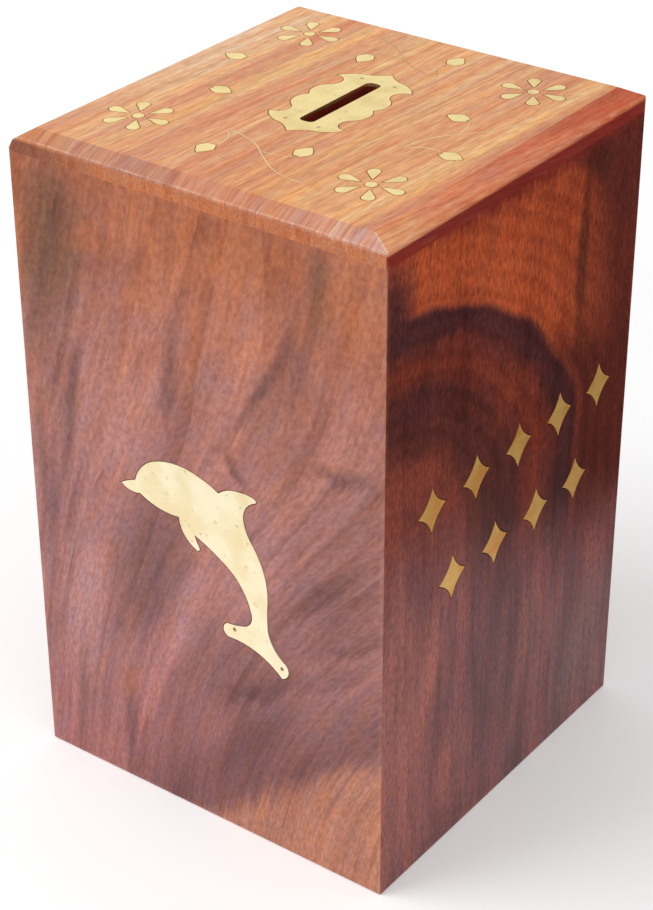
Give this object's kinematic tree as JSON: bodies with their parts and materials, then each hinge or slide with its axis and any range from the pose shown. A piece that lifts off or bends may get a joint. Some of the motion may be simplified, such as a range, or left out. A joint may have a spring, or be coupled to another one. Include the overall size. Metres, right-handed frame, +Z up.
{
  "type": "wooden money box",
  "caption": "Tall square wooden money box with a bevelled top, brass-plated coin slot, flower, vine, dolphin and lozenge inlay in brass, and a hinged, locking door in the base.",
  "frame": {"origin": "middle of the underside, on the surface that the box stands on", "axes": "+Z up; the face with the dolphin looks along -Y, the face with the lozenges along +X"},
  "size_m": [0.155, 0.155, 0.254],
  "materials": {
    "case_wood": "satin lacquered rosewood",
    "base_wood": "oiled rosewood",
    "inlay_brass": "sanded flush and lacquered",
    "hinge_brass": "plain rolled",
    "lock_steel": "nickel plated"
  },
  "bodies": {
    "case": {"front_wall": "case_wood", "right_wall": "case_wood", "back_wall": "case_wood", "left_wall": "case_wood", "top_board": "case_wood", "base_board": "base_wood", "slot_plate": "inlay_brass", "slot_plate_pins": "inlay_brass", "dolphin": "inlay_brass", "dolphin_pins": "inlay_brass", "upper_lozenges": "inlay_brass", "lower_lozenges": "inlay_brass", "flower_front_left": "inlay_brass", "flower_front_right": "inlay_brass", "flower_back_left": "inlay_brass", "flower_back_right": "inlay_brass", "buds_front": "inlay_brass", "buds_right": "inlay_brass", "buds_back": "inlay_brass", "buds_left": "inlay_brass", "vine_front": "inlay_brass", "vine_right": "inlay_brass", "vine_back": "inlay_brass", "vine_left": "inlay_brass", "front_hinge_frame_leaf": "hinge_brass", "front_hinge_pin": "hinge_brass", "rear_hinge_frame_leaf": "hinge_brass", "rear_hinge_pin": "hinge_brass", "hinge_frame_screws": "hinge_brass"},
    "door": {"base_door": "base_wood", "front_hinge_door_leaf": "hinge_brass", "rear_hinge_door_leaf": "hinge_brass", "hinge_door_screws": "hinge_brass", "lock_housing": "lock_steel", "lock_nut": "lock_steel"},
    "barrel": {"lock_barrel": "lock_steel", "lock_cam": "lock_steel", "cam_screw": "lock_steel"}
  },
  "joints": [
    {"name": "door_hinge", "type": "hinge", "parent": "case", "child": "door", "pos_m": [-0.0437, 0, 0.0037], "axis": [0, 1, 0], "range_deg": [0, 110]},
    {"name": "lock_turn", "type": "hinge", "parent": "door", "child": "barrel", "pos_m": [0.0265, 0, 0.01], "axis": [0, 0, 1], "range_deg": [0, 90]}
  ]
}
